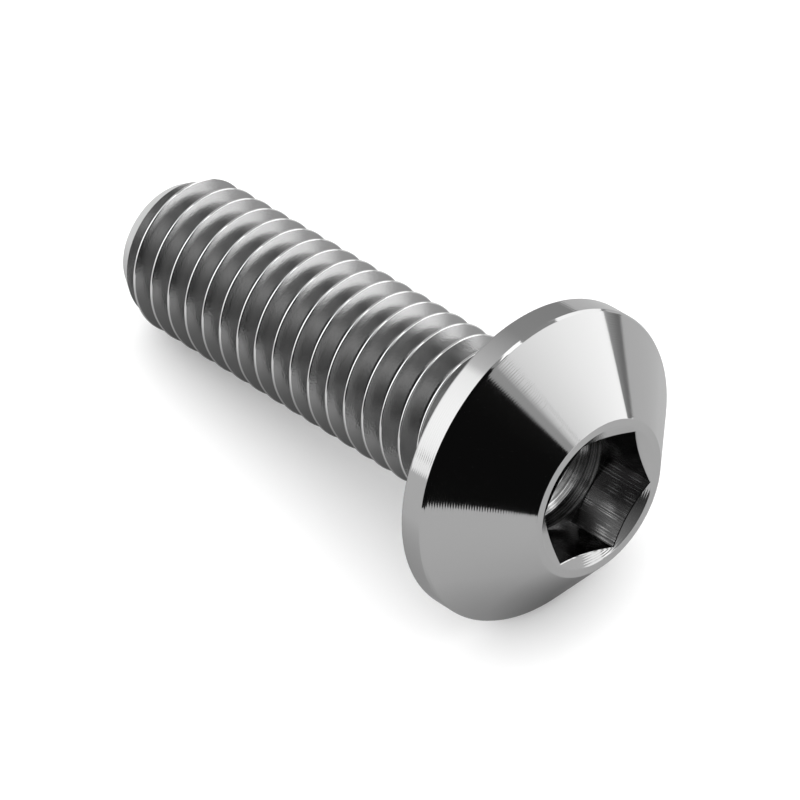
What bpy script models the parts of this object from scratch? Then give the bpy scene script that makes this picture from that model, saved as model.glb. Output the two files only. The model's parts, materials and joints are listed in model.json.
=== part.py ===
"""Tapered-head socket bolt: one turned and threaded piece.

The bolt is made upright, with its axis on Z and the underside of its head at Z = 0: the head above,
the threaded shank below. Angles about the axis start at +X, the side that faces up once it lies down.
It is then laid down as it comes to rest, on the rim of its head and on a crest near the thread's end.
"""

from math import atan2, ceil, cos, pi, radians, sin, sqrt, tan

import bpy
import numpy as np
from mathutils import Matrix

# Metric coarse thread, right-handed, 60 degrees between its flanks
THREAD_DIAMETER = 0.00794
THREAD_PITCH = 0.00125
CREST_FLAT = 0.00016
ROOT_RADIUS = 0.00018
FLANK_ANGLE = radians(30)
FIRST_CREST_BELOW_HEAD = 0.00093  # on the side that faces up

# Shank, from the head down to the end
SHANK_LENGTH = 0.025
NECK_DIAMETER = 0.0071
CREST_END = 0.0018  # under the head, where the crests have run out
GROOVE_END = 0.0023  # under the head, where the grooves have run out
NECK_FILLET = 0.0003
CREST_RUNOUT_ANGLE = radians(45)
GROOVE_RUNOUT_ANGLE = radians(30)
END_FACE_DIAMETER = 0.00616
END_CHAMFER_ANGLE = radians(30)

# Head: a short cylindrical rim, then a cone up to a flat ring round the socket
HEAD_DIAMETER = 0.0158
HEAD_HEIGHT = 0.00475
RIM_HEIGHT = 0.00122
RIM_BEVEL_RISE = 0.00015
RIM_BEVEL_DEPTH = 0.00008
UNDERSIDE_BREAK = 0.0001
TOP_DIAMETER = 0.008

# Socket: countersunk mouth, six broached flats and the drilled hole that they were broached from
HEX_ACROSS_FLATS = 0.006
HEX_DEPTH = 0.00282
HEX_TURN = radians(8.9)
MOUTH_DIAMETER = 0.0072
MOUTH_ANGLE = radians(135)
DRILL_DIAMETER = 0.0059
DRILL_DEPTH = 0.00365
DRILL_POINT_ANGLE = radians(118)

# Cuts run this far past the surface that they leave
OVERRUN = 0.0003

# Facets round one turn, how far round its first facet a sweep starts, and points along each rounded corner
HALF_SHARE = 0.5
THREAD_STEPS = 40
HEAD_STEPS = 80
SOCKET_STEPS = 40
HEX_SIDES = 6
ROOT_POINTS = 4
FILLET_POINTS = 4
SHARP_ANGLE = radians(42)
SETTLING_PASSES = 6

METAL_COLOUR = (0.44, 0.43, 0.42, 1)
METAL_ROUGHNESS = 0.3


def clear_scene():
    for old in list(bpy.data.objects):
        bpy.data.objects.remove(old, do_unlink=True)


def new_object(name, points, faces):
    mesh = bpy.data.meshes.new(name)
    mesh.from_pydata(points, [], faces)
    mesh.validate()
    made = bpy.data.objects.new(name, mesh)
    bpy.context.scene.collection.objects.link(made)
    return made


def helper(made):
    """A shape that only cuts or joins another: it is never rendered."""
    made.hide_render = True
    made.display_type = "WIRE"
    return made


def arc(centre_radius, centre_height, size, start, end, count):
    """Points (radius, height) of a rounded corner in the plane of a turned outline."""
    angles = [start + (end - start) * i / (count - 1) for i in range(count)]
    return [(centre_radius + size * cos(a), centre_height + size * sin(a)) for a in angles]


def turned(name, outline, steps, first_angle=None):
    """A solid of revolution about Z. The outline lists (radius, height) from the bottom of the axis to
    its top, so only its first and last points have no radius. Unless an angle is given, its first edge
    is half a facet round, clear of the thread's own edges."""
    turn = 2 * pi / steps
    start_angle = turn * HALF_SHARE if first_angle is None else first_angle
    points = [(0, 0, outline[0][1])]
    for radius, height in outline[1:-1]:
        for i in range(steps):
            angle = start_angle + i * turn
            points.append((radius * cos(angle), radius * sin(angle), height))
    points.append((0, 0, outline[-1][1]))
    top = len(points) - 1
    rings = len(outline) - 2
    faces = []
    for i in range(steps):
        after = (i + 1) % steps
        faces.append((0, 1 + after, 1 + i))
        for ring in range(rings - 1):
            low = 1 + ring * steps
            high = low + steps
            faces.append((low + i, low + after, high + after, high + i))
        last = 1 + (rings - 1) * steps
        faces.append((last + i, last + after, top))
    return new_object(name, points, faces)


def combine(target, other, operation):
    step = target.modifiers.new(other.name, "BOOLEAN")
    step.operation = operation
    step.solver = "EXACT"
    step.object = other


def thread_profile():
    """One pitch of the thread as (rise, radius), from the lower edge of a crest up to the lower edge of
    the next: the crest, the upper flank, the rounded root and the lower flank of the next crest."""
    crest_radius = THREAD_DIAMETER / 2
    groove_width = THREAD_PITCH - CREST_FLAT
    sharp_depth = groove_width / 2 / tan(FLANK_ANGLE)
    root_centre = crest_radius - sharp_depth + ROOT_RADIUS / sin(FLANK_ANGLE)
    middle = CREST_FLAT / 2 + THREAD_PITCH / 2
    swing = pi / 2 - FLANK_ANGLE
    root = arc(middle, root_centre, ROOT_RADIUS, -pi / 2 - swing, -pi / 2 + swing, ROOT_POINTS)
    return [(0, crest_radius), (CREST_FLAT, crest_radius)] + root


def root_diameter():
    return 2 * min(radius for _, radius in thread_profile())


def threaded_rod(name, low, high):
    """A rod whose whole side is one helical sweep of the thread's profile, from below low to above high.
    Its two ends are closed to the axis, and are trimmed off later. The sweep starts half a facet round,
    so that a crest lies on the middle of a facet and not on a corner."""
    profile = thread_profile()
    count = len(profile)
    crest_height = -FIRST_CREST_BELOW_HEAD - CREST_FLAT / 2
    first_turn = -ceil((crest_height - low) / THREAD_PITCH) - 1
    turns = ceil((high - low) / THREAD_PITCH) + 2
    columns = turns * THREAD_STEPS + 1
    points = []
    for column in range(columns):
        swept_turns = (column + HALF_SHARE) / THREAD_STEPS
        angle = 2 * pi * swept_turns
        base = crest_height + THREAD_PITCH * (first_turn + swept_turns)
        for rise, radius in profile:
            points.append((radius * cos(angle), radius * sin(angle), base + rise))
    faces = []
    for column in range(columns - 1):
        here = column * count
        there = here + count
        for j in range(count - 1):
            faces.append((here + j, there + j, there + j + 1, here + j + 1))
        if column + THREAD_STEPS + 1 < columns:
            above = here + THREAD_STEPS * count
            faces.append((here + count - 1, there + count - 1, above + count, above))
    rim_low = [column * count for column in range(THREAD_STEPS + 1)]
    rim_low += list(range(count - 1, 0, -1))
    first_top = columns - 1 - THREAD_STEPS
    rim_high = [column * count + count - 1 for column in range(first_top, columns)]
    rim_high += [(columns - 1) * count + j for j in range(count - 2, -1, -1)]
    low_middle = len(points)
    points.append((0, 0, points[0][2]))
    high_middle = len(points)
    points.append((0, 0, points[-2][2]))
    for i, corner in enumerate(rim_low):
        faces.append((low_middle, rim_low[(i + 1) % len(rim_low)], corner))
    for i, corner in enumerate(rim_high):
        faces.append((high_middle, corner, rim_high[(i + 1) % len(rim_high)]))
    return new_object(name, points, faces)


def shank_envelope(name):
    """What the rod is trimmed to: the chamfered end below, the fading crests under the head above."""
    end_radius = END_FACE_DIAMETER / 2
    clear_radius = THREAD_DIAMETER / 2 + OVERRUN
    inner_radius = root_diameter() / 2 - OVERRUN
    chamfer_rise = (clear_radius - end_radius) / tan(END_CHAMFER_ANGLE)
    runout_start = -CREST_END - (clear_radius - NECK_DIAMETER / 2) / tan(CREST_RUNOUT_ANGLE)
    runout_end = -CREST_END + (NECK_DIAMETER / 2 - inner_radius) / tan(CREST_RUNOUT_ANGLE)
    outline = [
        (0, -SHANK_LENGTH),
        (end_radius, -SHANK_LENGTH),
        (clear_radius, -SHANK_LENGTH + chamfer_rise),
        (clear_radius, runout_start),
        (inner_radius, runout_end),
        (0, runout_end),
    ]
    return helper(turned(name, outline, HEAD_STEPS))


def head_blank(name):
    """The turned head with the plain neck under it, which also fills the last grooves of the thread."""
    neck_radius = NECK_DIAMETER / 2
    inner_radius = root_diameter() / 2 - OVERRUN
    fill_start = -GROOVE_END - (neck_radius - inner_radius) / tan(GROOVE_RUNOUT_ANGLE)
    head_radius = HEAD_DIAMETER / 2
    fillet = arc(neck_radius + NECK_FILLET, -NECK_FILLET, NECK_FILLET, pi, pi / 2, FILLET_POINTS)
    outline = [
        (0, fill_start),
        (inner_radius, fill_start),
        (neck_radius, -GROOVE_END),
        *fillet,
        (head_radius - UNDERSIDE_BREAK, 0),
        (head_radius, UNDERSIDE_BREAK),
        (head_radius, RIM_HEIGHT),
        (head_radius - RIM_BEVEL_DEPTH, RIM_HEIGHT + RIM_BEVEL_RISE),
        (TOP_DIAMETER / 2, HEAD_HEIGHT),
        (0, HEAD_HEIGHT),
    ]
    return helper(turned(name, outline, HEAD_STEPS))


def socket_mouth(name):
    """The shallow cone that opens the socket, as far past the head's top as every cut runs."""
    slope = tan(MOUTH_ANGLE / 2)
    mouth_radius = MOUTH_DIAMETER / 2
    past = HEAD_HEIGHT + OVERRUN
    outline = [
        (0, HEAD_HEIGHT - mouth_radius / slope),
        (mouth_radius + OVERRUN * slope, past),
        (0, past),
    ]
    return helper(turned(name, outline, HEAD_STEPS))


def socket_hex(name):
    corner_radius = HEX_ACROSS_FLATS / sqrt(3)
    floor = HEAD_HEIGHT - HEX_DEPTH
    past = HEAD_HEIGHT + OVERRUN
    outline = [(0, floor), (corner_radius, floor), (corner_radius, past), (0, past)]
    return helper(turned(name, outline, HEX_SIDES, HEX_TURN))


def socket_drill(name):
    """The drilled hole under the flats, which ends in the cone of the drill's point."""
    radius = DRILL_DIAMETER / 2
    floor = HEAD_HEIGHT - DRILL_DEPTH
    point = floor - radius / tan(DRILL_POINT_ANGLE / 2)
    past = HEAD_HEIGHT - HEX_DEPTH + OVERRUN
    outline = [(0, point), (radius, floor), (radius, past), (0, past)]
    return helper(turned(name, outline, SOCKET_STEPS))


def socket(name):
    """The whole socket as one shape to cut: the broached hexagon with its mouth and its drilled hole."""
    tool = socket_hex(name)
    combine(tool, socket_mouth("socket_mouth"), "UNION")
    combine(tool, socket_drill("socket_drill"), "UNION")
    return tool


def finish_mesh(target):
    """Keeps the combined shape as the object's own mesh, shaded smooth between its real edges."""
    graph = bpy.context.evaluated_depsgraph_get()
    mesh = bpy.data.meshes.new_from_object(target.evaluated_get(graph))
    mesh.name = target.name
    target.modifiers.clear()
    target.data = mesh
    mesh.shade_smooth()
    mesh.set_sharp_from_angle(angle=SHARP_ANGLE)


def metal():
    made = bpy.data.materials.new("turned_metal")
    made.use_nodes = True
    shader = made.node_tree.nodes["Principled BSDF"]
    shader.inputs["Base Color"].default_value = METAL_COLOUR
    shader.inputs["Metallic"].default_value = 1
    shader.inputs["Roughness"].default_value = METAL_ROUGHNESS
    return made


def lying_turn(tilt):
    """Turns the upright bolt so that its axis points along +X and rises by the tilt, +X facing up."""
    return Matrix(
        (
            (-sin(tilt), 0, cos(tilt)),
            (0, -1, 0),
            (cos(tilt), 0, sin(tilt)),
        )
    )


def lay_down(bolt):
    """Rests the bolt on the floor at Z = 0: the tilt at which the lowest point of its head and the
    lowest point of its shank are level, found by joining the two lowest points over and over."""
    count = len(bolt.data.vertices)
    flat = np.empty(3 * count)
    bolt.data.vertices.foreach_get("co", flat)
    up, along = flat[0::3], flat[2::3]
    on_head = along > 0
    tilt = 0
    for _ in range(SETTLING_PASSES):
        height = cos(tilt) * up + sin(tilt) * along
        head = np.where(on_head, height, np.inf).argmin()
        shank = np.where(on_head, np.inf, height).argmin()
        tilt = atan2(up[shank] - up[head], along[head] - along[shank])
    turn = lying_turn(tilt)
    placed = flat.reshape(count, 3) @ np.array(turn).T
    low, high = placed.min(axis=0), placed.max(axis=0)
    middle = (low + high) / 2
    bolt.rotation_euler = turn.to_euler()
    bolt.location = (-middle[0], -middle[1], -low[2])


def build():
    clear_scene()
    bolt = threaded_rod("bolt", -SHANK_LENGTH, -CREST_END)
    combine(bolt, shank_envelope("shank_envelope"), "INTERSECT")
    combine(bolt, head_blank("head_blank"), "UNION")
    combine(bolt, socket("socket"), "DIFFERENCE")
    bpy.context.view_layer.update()
    finish_mesh(bolt)
    bolt.data.materials.append(metal())
    lay_down(bolt)


build()
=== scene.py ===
"""A bolt with a rolled thread, a turned tapered head and a broached hexagon socket, and its studio.

The bolt is one closed surface, made in its own upright frame: its axis on Z, the underside of its head
at Z = 0 and the head above. Angles about the axis start on the side that faces up once the bolt lies
down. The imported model's mounts say where that frame lies in the scene.
"""

import json
from math import atan2, ceil, cos, floor, pi, radians, sin, tan

import bmesh
import bpy
import numpy as np
from bpy.props import FloatProperty, FloatVectorProperty, PointerProperty
from mathutils import Matrix, Vector


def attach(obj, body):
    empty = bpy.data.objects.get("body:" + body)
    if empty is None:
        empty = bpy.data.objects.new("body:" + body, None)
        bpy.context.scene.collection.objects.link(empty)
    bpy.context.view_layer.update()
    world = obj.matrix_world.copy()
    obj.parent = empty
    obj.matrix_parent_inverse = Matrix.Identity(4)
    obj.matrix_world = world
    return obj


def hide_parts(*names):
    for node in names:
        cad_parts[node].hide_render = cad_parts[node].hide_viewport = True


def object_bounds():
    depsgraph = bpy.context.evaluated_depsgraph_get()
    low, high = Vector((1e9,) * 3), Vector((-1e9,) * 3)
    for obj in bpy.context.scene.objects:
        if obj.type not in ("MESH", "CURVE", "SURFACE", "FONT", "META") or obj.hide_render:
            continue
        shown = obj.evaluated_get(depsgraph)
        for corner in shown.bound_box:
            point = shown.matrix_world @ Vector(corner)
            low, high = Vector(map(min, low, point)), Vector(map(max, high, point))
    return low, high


bl_info = {
    "name": "Tapered socket bolt",
    "version": (1, 0, 0),
    "blender": (4, 5, 0),
    "location": "3D View > Sidebar > Bolt",
    "description": "Makes a threaded bolt with a tapered socket head, its metal and a studio stage",
    "category": "Object",
}

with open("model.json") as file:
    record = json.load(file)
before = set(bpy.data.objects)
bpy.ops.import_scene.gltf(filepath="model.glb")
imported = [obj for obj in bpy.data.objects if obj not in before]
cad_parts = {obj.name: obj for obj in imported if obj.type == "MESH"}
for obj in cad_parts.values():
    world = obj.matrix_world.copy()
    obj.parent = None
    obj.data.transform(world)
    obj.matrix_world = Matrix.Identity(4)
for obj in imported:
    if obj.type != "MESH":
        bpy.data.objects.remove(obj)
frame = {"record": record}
CAD_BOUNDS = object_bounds()

MM = 0.001

# How finely the surface is drawn
COLUMNS = 144  # round one turn, a multiple of the hexagon's six corners
CORNER_POINTS = 4
ROOT_POINTS = 6
FILLET_POINTS = 6
END_POINTS = 5  # from the axis to the chamfer
COUNTERSINK_ROWS = (5, 1)  # down the cone, and over the hexagon's edge
FLATS_ROWS = (8,)
BOTTOM_ROWS = (3, 2, 12)  # over the floor, down the drilled wall, and down the drill point
SUPPORT_SHARE = 15  # a crest's rounding over the distance from its arcs to their support points
SHARP_ANGLE = radians(26)
WELD = 0.00005 * MM

# How fine the marks in the metal are, in cycles to a millimetre
RIDGE_WANDER = 3.0
PIT_GRAIN = 13.0
BROACH_LINES = 12.0
DRILL_RINGS = 9.0
PATCH_GRAIN = 0.9

LEAST_RIDGE = 0.5  # the least height of a lathe ridge, to which its noise of 0 to 1 is added
PATCH_SLICE = 6.4  # the third coordinate at which the noise of the patches is read
HIGHLIGHT_RISE = 0.17  # from where a line's painted highlight starts to brighten to where it is bright
ROUND, ALONG = range(2)  # the unrolled lengths: round the axis, and along the profile

BLACK = 0.006  # light level of the dark cards
SENSOR_WIDTH = 36  # millimetres

ROLLED, BURNISHED, TURNED, BROACHED, DRILLED = range(5)  # the order of the bolt's material slots


def mount(name):
    """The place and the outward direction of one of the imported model's mounts."""
    found = next(m for m in frame["record"]["mounts"] if m["name"] == name)
    return Vector(found["pos_m"]), Vector(found["axis"]).normalized()


def bolt_frame(shank_length):
    """The matrix from the bolt's upright frame to the scene. Its Z runs from the thread's end to the
    head, its X is the side of the bolt that faces up, and its origin is under the head."""
    end, outward = mount("thread_end")
    axis = -outward
    up = (Vector((0, 0, 1)) - axis * axis.z).normalized()
    turn = Matrix((up, axis.cross(up), axis)).transposed()
    return Matrix.Translation(end + axis * shank_length) @ turn.to_4x4()


def length_field(name, value, description):
    return FloatProperty(name=name, description=description, default=value, min=0, unit="LENGTH", precision=5)


def angle_field(name, value, description):
    return FloatProperty(name=name, description=description, default=radians(value), subtype="ANGLE")


class BoltSizes(bpy.types.PropertyGroup):
    """The driving sizes of the bolt."""

    thread_diameter: length_field("Thread", 7.926 * MM, "Diameter over the crests")
    pitch: length_field("Pitch", 1.25 * MM, "Rise of the thread in one turn")
    crest_flat: length_field("Crest", 0.11 * MM, "Width of the flat on a crest")
    crest_round: length_field("Crest rounding", 0.07 * MM, "Radius on the corners of a crest")
    root_radius: length_field("Root", 0.15 * MM, "Radius in the bottom of a groove")
    flank_angle: angle_field("Flank", 30, "Angle between a flank and the bolt's cross-section")
    first_crest: length_field("First crest", 0.93 * MM, "From the head to a crest, on the side that faces up")
    shank_length: length_field("Shank", 25 * MM, "From the underside of the head to the end")
    end_diameter: length_field("End face", 6.154 * MM, "Diameter of the flat end")
    end_chamfer: angle_field("End chamfer", 30, "Angle between the chamfer and the axis")
    neck_diameter: length_field("Neck", 7.1 * MM, "Diameter of the plain neck under the head")
    neck_fillet: length_field("Neck fillet", 0.3 * MM, "Radius between neck and head")
    crest_end: length_field("Crest end", 1.8 * MM, "From the head to where the crests have run out")
    groove_end: length_field("Groove end", 2.3 * MM, "From the head to where the grooves have run out")
    crest_runout: angle_field("Crest run-out", 45, "Angle at which the crests fade to the neck")
    groove_runout: angle_field("Groove run-out", 30, "Angle at which the grooves fade to the neck")
    head_diameter: length_field("Head", CAD_BOUNDS[1].y - CAD_BOUNDS[0].y, "Diameter of the rim")
    head_height: length_field("Head height", 4.75 * MM, "From the head's underside to its top")
    underside_round: length_field("Underside edge", 0.1 * MM, "Radius on the rim's lower edge")
    rim_height: length_field("Rim", 1.22 * MM, "Height of the cylindrical rim")
    bevel_rise: length_field("Bevel rise", 0.15 * MM, "Height of the bevel between rim and cone")
    bevel_depth: length_field("Bevel depth", 0.08 * MM, "How far the bevel leans in")
    top_diameter: length_field("Top", 8 * MM, "Diameter of the flat ring round the socket")
    edge_break: length_field("Edge break", 0.03 * MM, "Radius on the turned and broached edges")
    mouth_diameter: length_field("Mouth", 7.2 * MM, "Diameter of the countersink round the hexagon")
    mouth_angle: angle_field("Mouth angle", 135, "Angle between opposite sides of the countersink")
    hex_flats: length_field("Hexagon", 6 * MM, "Distance across the flats")
    hex_depth: length_field("Hexagon depth", 2.82 * MM, "From the head's top to the end of the flats")
    hex_turn: angle_field("Hexagon turn", 8.9, "Angle of the first corner about the axis")
    drill_diameter: length_field("Drill", 5.9 * MM, "Diameter of the hole drilled before broaching")
    drill_depth: length_field("Drill depth", 3.65 * MM, "From the head's top to the end of the drilled wall")
    drill_point: angle_field("Drill point", 118, "Angle of the drill's point")


def rounded(corners, radii, counts, support=0):
    """A line of (radius, height) corners with an arc at each inner one. The arc cuts its radius times the
    tangent of half the turn from both sides, and its points swing evenly about its centre. A support
    point at that distance beyond each end of an arc keeps the shading of what follows flat."""
    corners = [np.array(corner, float) for corner in corners]
    parts = [corners[:1]]
    for before, corner, after, radius, count in zip(corners, corners[1:], corners[2:], radii, counts):
        arriving = (corner - before) / np.linalg.norm(corner - before)
        leaving = (after - corner) / np.linalg.norm(after - corner)
        turn = atan2(arriving[0] * leaving[1] - arriving[1] * leaving[0], arriving @ leaving)
        spoke = np.array((arriving[1], -arriving[0])) * np.sign(turn) * radius
        centre = corner - arriving * radius * tan(abs(turn) / 2) - spoke
        swing = np.linspace(0, turn, count)[:, None]
        across = np.array((-spoke[1], spoke[0]))
        arc = centre + spoke * np.cos(swing) + across * np.sin(swing)
        if support:
            parts.append(arc[:1] - arriving * support)
        parts.append(arc)
        if support:
            parts.append(arc[-1:] + leaving * support)
    parts.append(corners[-1:])
    return np.concatenate(parts)


def meeting(line_a, line_b):
    """The height at which two lines meet, each given as its radius at a height and its slope."""
    radius_a, height_a, slope_a = line_a
    radius_b, height_b, slope_b = line_b
    return (radius_b - radius_a + slope_a * height_a - slope_b * height_b) / (slope_a - slope_b)


def thread_profile(s):
    """One pitch of the thread as (radius, height), from the middle of a crest over its upper flank, the
    rounded root and the next lower flank to the middle of the next crest."""
    crest = s.thread_diameter / 2
    half_groove = (s.pitch - s.crest_flat) / 2
    corners = [
        (crest, s.crest_flat / 2),
        (crest, s.crest_flat),
        (crest - half_groove / tan(s.flank_angle), s.crest_flat + half_groove),
        (crest, s.pitch),
        (crest, s.pitch + s.crest_flat / 2),
    ]
    radii = (s.crest_round, s.root_radius, s.crest_round)
    counts = (CORNER_POINTS, ROOT_POINTS, CORNER_POINTS)
    return rounded(corners, radii, counts, support=s.crest_round / SUPPORT_SHARE)


def thread_grid(s):
    """The threaded shank: one pitch of its profile is carried round the axis and climbs a pitch a turn.

    Each column is cut by the cone of the end chamfer and the cone on which the crests fade out, and is
    filled up to the cone on which the grooves fade out. Where a flank passes through a cone, its rows
    gather at the height at which the two lines meet, so that the edge between them is exact."""
    crest, neck, end = s.thread_diameter / 2, s.neck_diameter / 2, s.end_diameter / 2
    profile = thread_profile(s)
    row = np.arange(len(profile))
    first_root = 1 + CORNER_POINTS + 3  # past the two support points of the crest's arc and its own first
    last_root = first_root + ROOT_POINTS - 1
    on_upper_flank = (row > 0) & (row < first_root)
    on_lower_flank = (row > last_root) & (row < len(profile) - 1)

    lowest_crest = -s.first_crest - s.crest_flat / 2
    turns_below = floor((s.shank_length + lowest_crest) / s.pitch) + 2
    turns = turns_below + max(0, ceil((-s.crest_end - lowest_crest) / s.pitch))
    swept = s.hex_turn / (2 * pi) + np.arange(turns * COLUMNS + 1)[:, None] / COLUMNS
    base = lowest_crest + s.pitch * (swept - turns_below)
    height = base + profile[:, 1]

    steep = 1 / tan(s.flank_angle)
    upper_flank = (crest, base + s.crest_flat, -steep)
    lower_flank = (crest, base + s.pitch, steep)
    chamfer = (end, -s.shank_length, tan(s.end_chamfer))
    fading = (neck, -s.crest_end, -tan(s.crest_runout))
    filling = (neck, -s.groove_end, tan(s.groove_runout))
    plain = (neck, 0, 0)
    cut_above = np.maximum(meeting(upper_flank, chamfer), meeting(upper_flank, fading))
    cut_below = np.minimum(meeting(lower_flank, chamfer), meeting(lower_flank, fading))
    fill_above = np.maximum(meeting(upper_flank, filling), meeting(upper_flank, plain))
    fill_below = np.minimum(meeting(lower_flank, filling), meeting(lower_flank, plain))
    root_start, root_end = base + profile[first_root, 1], base + profile[last_root, 1]
    rising = np.minimum(np.minimum(np.maximum(height, cut_above), fill_above), root_start)
    falling = np.maximum(np.maximum(np.minimum(height, cut_below), fill_below), root_end)
    moved = np.where(on_upper_flank, rising, np.where(on_lower_flank, falling, height))
    from_crest = np.where(on_upper_flank, moved - upper_flank[1], lower_flank[1] - moved)
    on_line = np.minimum(crest - steep * from_crest, crest)
    radius = np.where(moved == height, profile[:, 0], on_line)

    height = np.clip(moved, -s.shank_length, -s.crest_end)
    widest_at_end = end + chamfer[2] * (height + s.shank_length)
    widest_at_neck = neck + fading[2] * (height + s.crest_end)
    narrowest = neck + filling[2] * np.minimum(height + s.groove_end, 0)
    radius = np.minimum(np.maximum(radius, narrowest), np.minimum(widest_at_end, widest_at_neck))
    return radius, height


def turned_grid(profile):
    """A surface of revolution: every column of one turn has the same (radius, height) profile."""
    shape = (COLUMNS + 1, len(profile))
    return tuple(np.broadcast_to(profile[:, i], shape) for i in (0, 1))


def end_profile(s):
    """The flat end, a disc from the axis out to the chamfer."""
    radius = np.linspace(0, s.end_diameter / 2, END_POINTS)
    return np.stack((radius, np.full_like(radius, -s.shank_length)), axis=1)


def head_profile(s):
    """The turned outline of the head: the neck, the underside, the rim, its bevel, the cone and the top
    ring to just inside the countersink's edge, with a small arc at each edge."""
    head, mouth, hexagon = s.head_diameter / 2, s.mouth_diameter / 2, s.hex_flats / 2
    corners = [
        (s.neck_diameter / 2, -s.crest_end),
        (s.neck_diameter / 2, 0),
        (head, 0),
        (head, s.rim_height),
        (head - s.bevel_depth, s.rim_height + s.bevel_rise),
        (s.top_diameter / 2, s.head_height),
        (mouth, s.head_height),
        (hexagon, countersink_height(s, hexagon)),
    ]
    radii = (s.neck_fillet, s.underside_round, *[s.edge_break] * 4)
    counts = (FILLET_POINTS, FILLET_POINTS, *[CORNER_POINTS] * 4)
    return rounded(corners, radii, counts, support=s.edge_break)[:-1]


def countersink_height(s, radius):
    """The height of the countersink's cone at a radius: the cone falls from its mouth inwards."""
    return s.head_height - (s.mouth_diameter / 2 - radius) / tan(s.mouth_angle / 2)


def between(stops, counts):
    """A grid that runs straight from each (radius, height) stop to the next, in so many rows. A stop's
    radius and height may change from column to column."""
    pairs = [np.stack(np.broadcast_arrays(*stop), axis=-1) for stop in stops]
    spread = [np.broadcast_to(pair, (COLUMNS + 1, 1, 2)) for pair in pairs]
    parts = [
        start + (stop - start) * (np.arange(count) / count)[:, None]
        for start, stop, count in zip(spread, spread[1:], counts)
    ]
    grid = np.concatenate([*parts, spread[-1]], axis=1)
    return grid[..., 0], grid[..., 1]


def hexagon_radius(s):
    """From the axis to the hexagon, column by column: half the flats over the cosine of the angle to the
    middle of the nearest flat. The columns start at a corner."""
    side = pi / 3
    angle = np.arange(COLUMNS + 1)[:, None] * (2 * pi / COLUMNS)
    return s.hex_flats / 2 / np.cos(angle % side - side / 2)


def countersink_grid(s):
    """The countersink's cone, from the circle where the head's outline ends to the hexagon's edge, which
    it meets in an arc on each flat. A narrow bevel breaks that edge."""
    start_radius, start_height = head_profile(s)[-1]
    hexagon = hexagon_radius(s)
    lip = hexagon + s.edge_break
    stops = [
        (start_radius, start_height),
        (lip, countersink_height(s, lip)),
        (hexagon, countersink_height(s, hexagon) - s.edge_break),
    ]
    return between(stops, COUNTERSINK_ROWS)


def flats_grid(s):
    """The six broached flats, from the countersink straight down to the end of the broach's cut."""
    hexagon = hexagon_radius(s)
    stops = [
        (hexagon, countersink_height(s, hexagon) - s.edge_break),
        (hexagon, s.head_height - s.hex_depth),
    ]
    return between(stops, FLATS_ROWS)


def bottom_grid(s):
    """The socket's bottom: the floor that the broach left, the drilled wall and the drill point's cone."""
    hole = s.drill_diameter / 2
    floor_height, wall_end = s.head_height - s.hex_depth, s.head_height - s.drill_depth
    stops = [
        (hexagon_radius(s), floor_height),
        (hole, floor_height),
        (hole, wall_end),
        (0, wall_end - hole / tan(s.drill_point / 2)),
    ]
    return between(stops, BOTTOM_ROWS)


def thread_slots(s):
    """The finish of each strip between two rows of the thread: the rollers burnished its crests."""
    strip = np.arange(len(thread_profile(s)) - 1)
    on_crest = CORNER_POINTS + 1
    return np.where((strip < on_crest) | (strip >= len(strip) - on_crest), BURNISHED, ROLLED)


def patch(grid, hex_turn):
    """The points, faces and unrolled lengths of a grid of radii and heights. Its columns go round the
    axis from the hexagon's first corner and its rows run from the thread's end towards the socket, so
    its faces look outwards. The lengths are millimetres round the widest turn and along each column,
    counted back from the axis if the grid ends there."""
    radius, height = grid
    columns, rows = radius.shape
    column = np.arange(columns)[:, None]
    angle = hex_turn + 2 * pi * (column % COLUMNS) / COLUMNS
    points = np.stack((radius * np.cos(angle), radius * np.sin(angle), height), axis=-1)
    steps = np.hypot(np.diff(radius, axis=1), np.diff(height, axis=1))
    along = np.concatenate((np.zeros((columns, 1)), np.cumsum(steps, axis=1)), axis=1)
    round_it = np.broadcast_to(column / COLUMNS * 2 * pi * radius.max(), along.shape)
    lengths = np.stack((round_it, along), axis=-1) / MM
    if not radius[:, -1].any():
        lengths[..., 1] -= lengths[:, -1:, 1]
    index = np.arange(columns * rows).reshape(columns, rows)
    quads = np.stack((index[:-1, :-1], index[1:, :-1], index[1:, 1:], index[:-1, 1:]), axis=-1)
    return points.reshape(-1, 3), quads.reshape(-1, 4), lengths.reshape(-1, 2)


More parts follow.
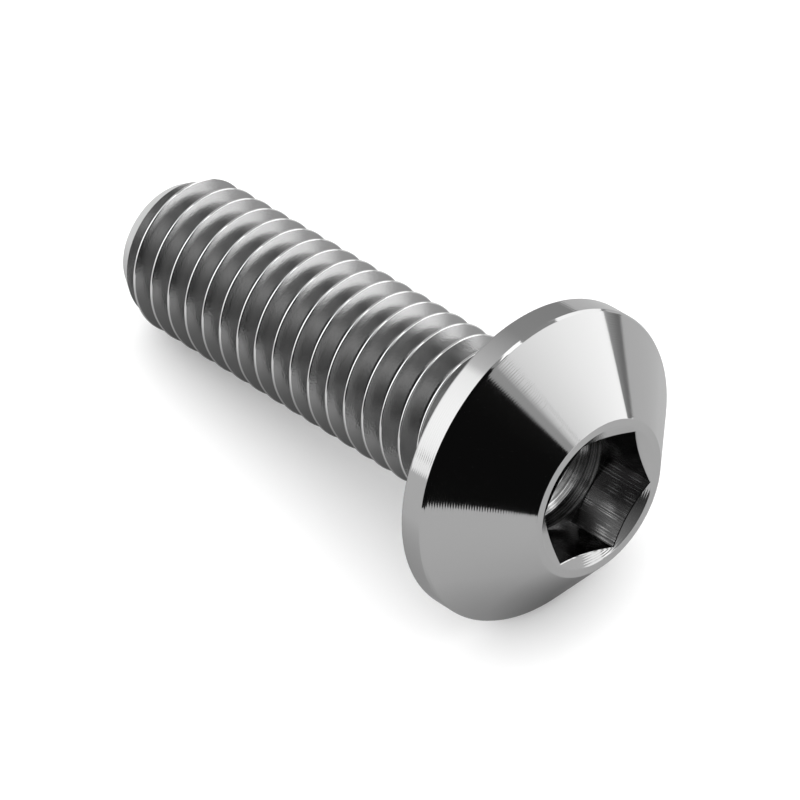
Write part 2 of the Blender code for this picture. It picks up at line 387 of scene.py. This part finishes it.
def bolt_mesh(s):
    """The bolt as one closed mesh. The patches are laid side by side, and welded where they meet."""
    patches = [
        (ROLLED, turned_grid(end_profile(s))),
        (thread_slots(s), thread_grid(s)),
        (TURNED, turned_grid(head_profile(s))),
        (TURNED, countersink_grid(s)),
        (BROACHED, flats_grid(s)),
        (DRILLED, bottom_grid(s)),
    ]
    parts = [patch(grid, s.hex_turn) for _, grid in patches]
    starts = np.cumsum([0] + [len(points) for points, _, _ in parts])
    points = np.concatenate([part[0] for part in parts])
    quads = np.concatenate([part[1] + start for part, start in zip(parts, starts)])
    lengths = np.concatenate([part[2] for part in parts])
    slots = np.concatenate([np.resize(slot, len(part[1])) for (slot, _), part in zip(patches, parts)])

    mesh = bpy.data.meshes.new("bolt_surface")
    mesh.vertices.add(len(points))
    mesh.vertices.foreach_set("co", points.ravel())
    mesh.loops.add(quads.size)
    mesh.loops.foreach_set("vertex_index", quads.ravel())
    mesh.polygons.add(len(quads))
    mesh.polygons.foreach_set("loop_start", np.arange(len(quads)) * 4)
    mesh.polygons.foreach_set("material_index", slots)
    mesh.uv_layers.new(name="lengths_mm").data.foreach_set("uv", lengths[quads.ravel()].ravel())
    mesh.update(calc_edges=True)
    mesh.transform(bolt_frame(s.shank_length))

    joined = bmesh.new()
    joined.from_mesh(mesh)
    bmesh.ops.remove_doubles(joined, verts=joined.verts, dist=WELD)
    loose = [edge for edge in joined.edges if len(edge.link_faces) != 2]
    joined.to_mesh(mesh)
    joined.free()
    if loose:
        raise ValueError(f"The bolt's surface is open at {len(loose)} edges")
    mesh.shade_smooth()
    mesh.set_sharp_from_angle(angle=SHARP_ANGLE)
    return mesh


def linear(code):
    """A colour written as an sRGB hex code, as the linear light that the renderer works in."""
    shares = [int(code[i : i + 2], 16) / 255 for i in (0, 2, 4)]
    return tuple(c / 12.92 if c <= 0.04045 else ((c + 0.055) / 1.055) ** 2.4 for c in shares)


def colour_field(name, code, description):
    return FloatVectorProperty(
        name=name, description=description, default=linear(code), size=3, min=0, max=1, subtype="COLOR"
    )


def share_field(name, value, description):
    return FloatProperty(name=name, description=description, default=value, min=0, max=1)


def level_field(name, value, description):
    return FloatProperty(name=name, description=description, default=value, min=0, max=10)


class BoltLooks(bpy.types.PropertyGroup):
    """The metal's colour and finish, with painted shade and highlights in the socket and on the crests."""

    metal: colour_field("Metal", "C0C0C0", "Colour of the cut metal, a neutral grey")
    thread_metal: colour_field("Thread", "A0A0A0", "Colour of the rolled flanks, which are duller")
    # The socket's dark colour is painted shade in the recess.
    shaded_socket_metal: colour_field("Socket", "707070", "Colour inside the socket, where no polish reaches")
    # The patches in this colour are painted highlights.
    highlight_patch_metal: colour_field("Rubbed", "D8D8D8", "Colour inside the socket where a tool rubbed it bright")
    # The crests are smooth, and their colour is lighter than the metal's as a painted highlight.
    crest_highlight_metal: colour_field("Crests", "ECECEC", "Colour of the burnished crests")
    turned_roughness: share_field("Turned", 0.07, "Roughness of the turned head between its marks")
    rolled_roughness: share_field("Rolled", 0.22, "Roughness of the rolled thread")
    broached_roughness: share_field("Broached", 0.14, "Roughness of the socket's walls")
    drilled_roughness: share_field("Drilled", 0.25, "Roughness of the socket's bottom")
    feed: length_field("Feed", 0.12 * MM, "How far the lathe's tool moved in one turn")
    mark_depth: length_field("Mark depth", 0.001 * MM, "Height of the ridges that the tool left")
    scratch_depth: length_field("Scratch depth", 0.006 * MM, "Depth of the broach's and drill's scratches")
    pit_depth: length_field("Pit depth", 0.009 * MM, "Height of the thread's fine pits")


class StageSettings(bpy.types.PropertyGroup):
    """The light, the floor and the camera."""

    # The near floor colour is a painted shadow that the bolt mirrors close to itself.
    painted_shadow_floor: colour_field(
        "Near floor", "8A8A8A", "Colour of the floor close to the bolt, as the bolt mirrors it"
    )
    far_floor: colour_field(
        "Far floor", "B8B8B8", "Colour of the floor farther off, as the bolt mirrors it"
    )
    ambient_level: level_field("Ambient", 1.45, "Light level of the room on the floor")
    surround_level: level_field("Surround", 0.42, "Light level of the room where the bolt mirrors it")
    overhead_level: level_field("Overhead softbox", 2.0, "Light level of the softbox above")
    right_level: level_field("Right softbox", 1.62, "Light level of the softbox beyond the head")
    left_level: level_field("Left softbox", 1.9, "Light level of the softbox beyond the thread's end")
    azimuth: angle_field("Azimuth", 46.3, "Camera's direction round the bolt")
    elevation: angle_field("Elevation", 47.53, "Camera's height above the horizon")
    target: FloatVectorProperty(
        name="Target",
        description="Point that the camera looks at",
        default=(4.5354 * MM, -2.9145 * MM, 9.4726 * MM),
        subtype="XYZ",
        unit="LENGTH",
        precision=5,
    )
    distance: length_field("Distance", 239.51 * MM, "From the camera to its target")
    lens: FloatProperty(
        name="Lens", description="Focal length in mm on a 36 mm sensor", default=234.08, min=1
    )


def add(tree, kind, inputs=(), **settings):
    """Adds a node. An input is a value, or the output socket that feeds it."""
    node = tree.nodes.new(kind)
    for name, value in settings.items():
        setattr(node, name, value)
    for name, value in dict(inputs).items():
        if isinstance(value, bpy.types.NodeSocket):
            tree.links.new(value, node.inputs[name])
        else:
            node.inputs[name].default_value = value
    return node


def new_material(name):
    """A material with an empty node tree and its output."""
    material = bpy.data.materials.new(name)
    material.use_nodes = True
    material.node_tree.nodes.clear()
    return material, material.node_tree, add(material.node_tree, "ShaderNodeOutputMaterial")


def metal(name, colour, roughness):
    """Bare titanium alloy: metallic, a neutral grey, with the roughness of how it was worked."""
    material, tree, output = new_material(name)
    shader = add(
        tree,
        "ShaderNodeBsdfPrincipled",
        {"Base Color": (*colour, 1), "Metallic": 1.0, "Roughness": roughness},
    )
    tree.links.new(shader.outputs["BSDF"], output.inputs["Surface"])
    return material, tree, shader


def maths(tree, operation, *values):
    """The result of one sum on up to three values or sockets."""
    return add(tree, "ShaderNodeMath", enumerate(values), operation=operation).outputs[0]


def lines(tree, coordinate, per_mm):
    """One-dimensional noise with so many cycles to a millimetre of an unrolled length."""
    place = maths(tree, "MULTIPLY", coordinate, per_mm)
    noise = {"W": place, "Scale": 1.0, "Detail": 2.0, "Roughness": 0.6}
    return add(tree, "ShaderNodeTexNoise", noise, noise_dimensions="1D").outputs[0]


def feed_marks(tree, along, feed):
    """The ridges of a lathe's round-nosed tool: one hollow to each feed, as a parabola from 0 in its
    middle to 1 on the ridges, whose height wanders a little from ridge to ridge."""
    across = maths(tree, "FRACT", maths(tree, "DIVIDE", along, feed / MM))
    from_middle = maths(tree, "ABSOLUTE", maths(tree, "MULTIPLY_ADD", across, 2.0, -1.0))
    hollow = maths(tree, "POWER", from_middle, 2.0)
    uneven = maths(tree, "ADD", lines(tree, along, RIDGE_WANDER), LEAST_RIDGE)
    return maths(tree, "MULTIPLY", hollow, uneven)


def unrolled(tree):
    """The unrolled lengths in millimetres, in the order of ROUND and ALONG."""
    uv = add(tree, "ShaderNodeUVMap", uv_map="lengths_mm")
    split = add(tree, "ShaderNodeSeparateXYZ", {0: uv.outputs[0]})
    return split.outputs[0], split.outputs[1]


def turned_metal(looks):
    """A lathe's finish: a bright cut with one fine ridge to each turn of the lathe."""
    material, tree, shader = metal("turned", looks.metal, looks.turned_roughness)
    heights = feed_marks(tree, unrolled(tree)[ALONG], looks.feed)
    bump = add(tree, "ShaderNodeBump", {"Distance": looks.mark_depth, "Height": heights})
    tree.links.new(bump.outputs[0], shader.inputs["Normal"])
    return material


def rolled_metal(looks):
    """A rolled thread's finish: satin, with fine pits."""
    material, tree, shader = metal("rolled", looks.thread_metal, looks.rolled_roughness)
    place = add(tree, "ShaderNodeTexCoord").outputs["Object"]
    pits = add(tree, "ShaderNodeTexNoise", {"Vector": place, "Scale": PIT_GRAIN / MM, "Detail": 2.0})
    bump = add(tree, "ShaderNodeBump", {"Distance": looks.pit_depth, "Height": pits.outputs[0]})
    tree.links.new(bump.outputs[0], shader.inputs["Normal"])
    return material


def burnished_highlight_metal(looks):
    """The crests, which the rollers pressed smooth. Their colour is lighter than the turned metal's, a
    painted highlight.
    """
    return metal("burnished", looks.crest_highlight_metal, looks.turned_roughness)[0]


def scratched_metal(name, looks, roughness, across, per_mm, highlight_from):
    """A cut inside the socket: lines across one of its unrolled lengths, on a dark colour that is painted
    shade, with painted highlights in patches. A line brightens where its height times the noise of the
    patches passes the level at which its painted highlight starts."""
    material, tree, shader = metal(name, looks.shaded_socket_metal, roughness)
    lengths = unrolled(tree)
    heights = lines(tree, lengths[across], per_mm)
    bump = add(tree, "ShaderNodeBump", {"Distance": looks.scratch_depth, "Height": heights})
    place = add(tree, "ShaderNodeCombineXYZ", enumerate((*lengths, PATCH_SLICE))).outputs[0]
    noise = {"Vector": place, "Scale": PATCH_GRAIN, "Detail": 1.0}
    patches = add(tree, "ShaderNodeTexNoise", noise).outputs[0]
    level = maths(tree, "MULTIPLY", patches, heights)
    # Painted highlights: in patches the colour lifts from the painted shade to the bright colour.
    rise = {0: level, 1: highlight_from, 2: highlight_from + HIGHLIGHT_RISE}
    highlight_share = add(tree, "ShaderNodeMapRange", rise).outputs[0]
    colours = {0: highlight_share, 6: (*looks.shaded_socket_metal, 1), 7: (*looks.highlight_patch_metal, 1)}
    colour = add(tree, "ShaderNodeMix", colours, data_type="RGBA").outputs[2]
    tree.links.new(colour, shader.inputs["Base Color"])
    tree.links.new(bump.outputs[0], shader.inputs["Normal"])
    return material


def broached_metal(looks):
    """A broach's finish: lines along the socket's depth."""
    return scratched_metal("broached", looks, looks.broached_roughness, ROUND, BROACH_LINES, highlight_from=0.27)


def drilled_metal(looks):
    """A drill's finish: rings of uneven depth."""
    return scratched_metal("drilled", looks, looks.drilled_roughness, ALONG, DRILL_RINGS, highlight_from=0.16)


def new_object(name, data):
    """An object that shows a mesh or is a camera, at the origin."""
    made = bpy.data.objects.new(name, data)
    bpy.context.scene.collection.objects.link(made)
    return made


class OBJECT_OT_make_bolt(bpy.types.Operator):
    """Makes the bolt's surface and its metal"""

    bl_idname = "object.make_bolt"
    bl_label = "Make bolt"

    def execute(self, context):
        looks = context.scene.bolt_looks
        bolt = new_object("bolt_surface", bolt_mesh(context.scene.bolt_sizes))
        for make in (rolled_metal, burnished_highlight_metal, turned_metal, broached_metal, drilled_metal):
            bolt.data.materials.append(make(looks))
        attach(bolt, "root")
        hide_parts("bolt")
        return {"FINISHED"}


def direction(azimuth, elevation):
    """The unit vector at an azimuth from +X towards +Y and an elevation, both in degrees."""
    a, e = radians(azimuth), radians(elevation)
    return Vector((cos(a) * cos(e), sin(a) * cos(e), sin(e)))


def card(name, corners, scale=1.0, distance=0.5, lights=True):
    """A glowing card that the bolt mirrors. Each corner is an azimuth and an elevation in degrees, seen
    from the middle of the head's underside at one distance, and a light level, which blends from corner
    to corner. The camera doesn't see the card, it casts no shadow, and the floor sees it only if it
    lights."""
    centre = mount("head_underside")[0]
    points = [centre + direction(azimuth, elevation) * distance for azimuth, elevation, _ in corners]
    mesh = bpy.data.meshes.new(name)
    mesh.from_pydata(points, [], [range(len(points))])
    levels = [level * scale for _, _, level in corners]
    mesh.attributes.new("level", "FLOAT", "POINT").data.foreach_set("value", levels)
    material, tree, output = new_material(name)
    level = add(tree, "ShaderNodeAttribute", attribute_name="level").outputs["Fac"]
    glow = add(tree, "ShaderNodeEmission", {"Color": (1, 1, 1, 1), "Strength": level})
    tree.links.new(glow.outputs[0], output.inputs["Surface"])
    mesh.materials.append(material)
    made = new_object(name, mesh)
    made.visible_camera = False
    made.visible_shadow = False
    made.visible_diffuse = lights
    return made


def floor_plane(stage):
    """A floor that the camera sees as white, so that only the shadow shows on it. The bolt mirrors it as
    a grey with a painted shadow: darker near two points, one under the shank and one under the head, it
    changes from the near, painted shadow colour to the far colour with the distance from them. At each
    place the ramp that is less far along counts."""
    reach = 1.0
    under_shank = (-4 * MM, 7 * MM, 22 * MM)  # the point's X, and where its ramp starts and ends
    under_head = (13 * MM, 1 * MM, 6 * MM)
    mesh = bpy.data.meshes.new("floor")
    corners = [(-reach, -reach, 0), (reach, -reach, 0), (reach, reach, 0), (-reach, reach, 0)]
    mesh.from_pydata(corners, [], [range(len(corners))])
    material, tree, output = new_material("floor")
    place = add(tree, "ShaderNodeTexCoord").outputs["Object"]
    # The ramps paint the shadow round the bolt into the mirrored floor.
    ramps = []
    for x, start, end in (under_shank, under_head):
        points = {0: place, 1: (x, 0, 0)}
        away = add(tree, "ShaderNodeVectorMath", points, operation="DISTANCE").outputs["Value"]
        ramps.append(add(tree, "ShaderNodeMapRange", {0: away, 1: start, 2: end}).outputs[0])
    colours = {0: maths(tree, "MINIMUM", *ramps), 6: (*stage.painted_shadow_floor, 1), 7: (*stage.far_floor, 1)}
    mirrored = add(tree, "ShaderNodeMix", colours, data_type="RGBA").outputs[2]
    colours = {0: add(tree, "ShaderNodeLightPath").outputs["Is Camera Ray"], 6: mirrored, 7: (1, 1, 1, 1)}
    seen = add(tree, "ShaderNodeMix", colours, data_type="RGBA").outputs[2]
    shader = add(tree, "ShaderNodeBsdfDiffuse", {"Color": seen})
    tree.links.new(shader.outputs[0], output.inputs["Surface"])
    mesh.materials.append(material)
    return new_object("floor", mesh)


def white_room(stage):
    """A world that looks white, lights the floor evenly and is darker where the bolt mirrors it."""
    world = bpy.data.worlds.new("room")
    bpy.context.scene.world = world
    world.use_nodes = True
    tree = world.node_tree
    tree.nodes.clear()
    path = add(tree, "ShaderNodeLightPath")
    choice = {0: path.outputs["Is Glossy Ray"], 2: stage.ambient_level, 3: stage.surround_level}
    level = add(tree, "ShaderNodeMix", choice).outputs[0]
    strength = add(tree, "ShaderNodeMix", {0: path.outputs["Is Camera Ray"], 2: level, 3: 1.0}).outputs[0]
    background = add(tree, "ShaderNodeBackground", {"Color": (1, 1, 1, 1), "Strength": strength})
    output = add(tree, "ShaderNodeOutputWorld")
    tree.links.new(background.outputs[0], output.inputs["Surface"])


def camera(stage):
    """The camera that sees the bolt as the photo does. Its azimuth turns it round its target, from the
    view along +Y."""
    a, e = stage.azimuth, stage.elevation
    back = Vector((sin(a) * cos(e), -cos(a) * cos(e), sin(e)))
    data = bpy.data.cameras.new("camera")
    data.sensor_width = SENSOR_WIDTH
    data.lens = stage.lens
    data.clip_start = stage.distance / 100  # nothing is this close
    made = new_object("camera", data)
    made.location = Vector(stage.target) + back * stage.distance
    made.rotation_euler = (-back).to_track_quat("-Z", "Y").to_euler()
    bpy.context.scene.camera = made


class OBJECT_OT_make_stage(bpy.types.Operator):
    """Makes the floor, the light and the camera"""

    bl_idname = "object.make_bolt_stage"
    bl_label = "Make stage"

    def execute(self, context):
        stage = context.scene.bolt_stage
        white_room(stage)
        overhead = [(50, 58, 1), (150, 58, 1), (150, 88, 1), (50, 88, 1)]
        wall = [(-108, -4), (-60, -10), (-46, -9.2), (-37.3, -6.4), (-30, -13), (-10, -13)]
        wall += [(-14, 14), (2, 33), (0.7, 38.2), (-1, 42.8), (-5, 75), (-62, 75), (-108, 40)]
        ceiling = [(-142, 62), (-100, 50), (-60, 40), (-8, 60), (-8, 86), (-142, 86)]
        dark_wall, dark_ceiling = ([(*corner, BLACK) for corner in shape] for shape in (wall, ceiling))
        edge = [(-6, 30, 0.48), (11.5, 35, 0.48), (10.7, 44, 0.48), (9, 60, 0.48), (-6, 60, 0.48)]
        ramp = [(11.5, 20, 0.5), (34, 0, 1.0), (18, 46, 1.2), (10.7, 46, 0.7)]
        foot = [(-26, -18, 0.03), (6, -18, 0.05), (24, -2, 0.45), (20, 6, 0.4), (12, 6, 0.15), (-12, 6, 0.05)]
        front = [(-10, 2, 0.5), (20, 2, 0.9), (30, 3, 2.2), (24, 30, 2.2), (4, 32, 1.1), (-14, 14, 0.9)]
        low = [(30, -3, 1.2), (62, -5, 1.8), (60, 8, 3.3), (45, 22, 3.8), (24, 32, 3.1)]
        back = [(80, 3, 1.9), (118, 3, 1.3), (118, 38, 1.3), (80, 38, 1.9)]
        right = [(34, -5, 0.9), (75, -5, 1.1), (75, 46, 0.95), (18, 46, 0.7)]
        left = [(-176, -4, 0.5), (-122, -4, 0.75), (-122, 3, 0.8), (-127, 8, 0.85)]
        left += [(-127, 56, 1.05), (-160, 56, 1.05), (-176, 56, 0.53), (-176, 30, 0.53)]
        grey = [(122, 0, 0.35), (166, 0, 0.4), (184, 30, 0.92), (184, 56, 0.92), (122, 56, 0.42)]
        side = [(64, -0.6, 0.16), (80, -8, 0.16), (80, 6, 0.76), (64, 0, 0.74)]
        cards = [
            card("overhead_softbox", overhead, stage.overhead_level),
            card("dark_wall", dark_wall, distance=0.075, lights=False),
            card("dark_ceiling", dark_ceiling, distance=0.4, lights=False),
            card("dark_wall_edge", edge, lights=False),
            card("dark_wall_ramp", ramp, distance=0.4, lights=False),
            card("front_foot", foot, distance=0.045, lights=False),
            card("front_wall", front, distance=0.3, lights=False),
            card("low_softbox", low, distance=0.18, lights=False),
            card("back_wall", back, distance=0.3, lights=False),
            card("right_softbox", right, stage.right_level, distance=0.2),
            card("left_softbox", left, stage.left_level),
            card("grey_wall", grey, lights=False),
            card("side_wall", side, distance=0.1, lights=False),
        ]
        floor_plane(stage)
        camera(stage)
        context.scene.view_settings.view_transform = "Standard"
        return {"FINISHED"}


class VIEW3D_PT_bolt(bpy.types.Panel):
    """Lists the bolt's sizes and looks and the stage's settings, with the buttons that make them."""

    bl_label = "Bolt"
    bl_idname = "VIEW3D_PT_bolt"
    bl_space_type = "VIEW_3D"
    bl_region_type = "UI"
    bl_category = "Bolt"

    def draw(self, context):
        for name, operator in STEPS:
            group = getattr(context.scene, name)
            box = self.layout.box()
            for field in group.__annotations__:
                box.prop(group, field)
            if operator:
                box.operator(operator)


GROUPS = {"bolt_sizes": BoltSizes, "bolt_looks": BoltLooks, "bolt_stage": StageSettings}
STEPS = (("bolt_sizes", ""), ("bolt_looks", "object.make_bolt"), ("bolt_stage", "object.make_bolt_stage"))
CLASSES = (*GROUPS.values(), OBJECT_OT_make_bolt, OBJECT_OT_make_stage, VIEW3D_PT_bolt)


def register():
    for entry in CLASSES:
        bpy.utils.register_class(entry)
    for name, group in GROUPS.items():
        setattr(bpy.types.Scene, name, PointerProperty(type=group))


def unregister():
    for name in GROUPS:
        delattr(bpy.types.Scene, name)
    for entry in reversed(CLASSES):
        bpy.utils.unregister_class(entry)


def main():
    register()
    bpy.ops.object.make_bolt()
    bpy.ops.object.make_bolt_stage()


if __name__ == "__main__":
    main()
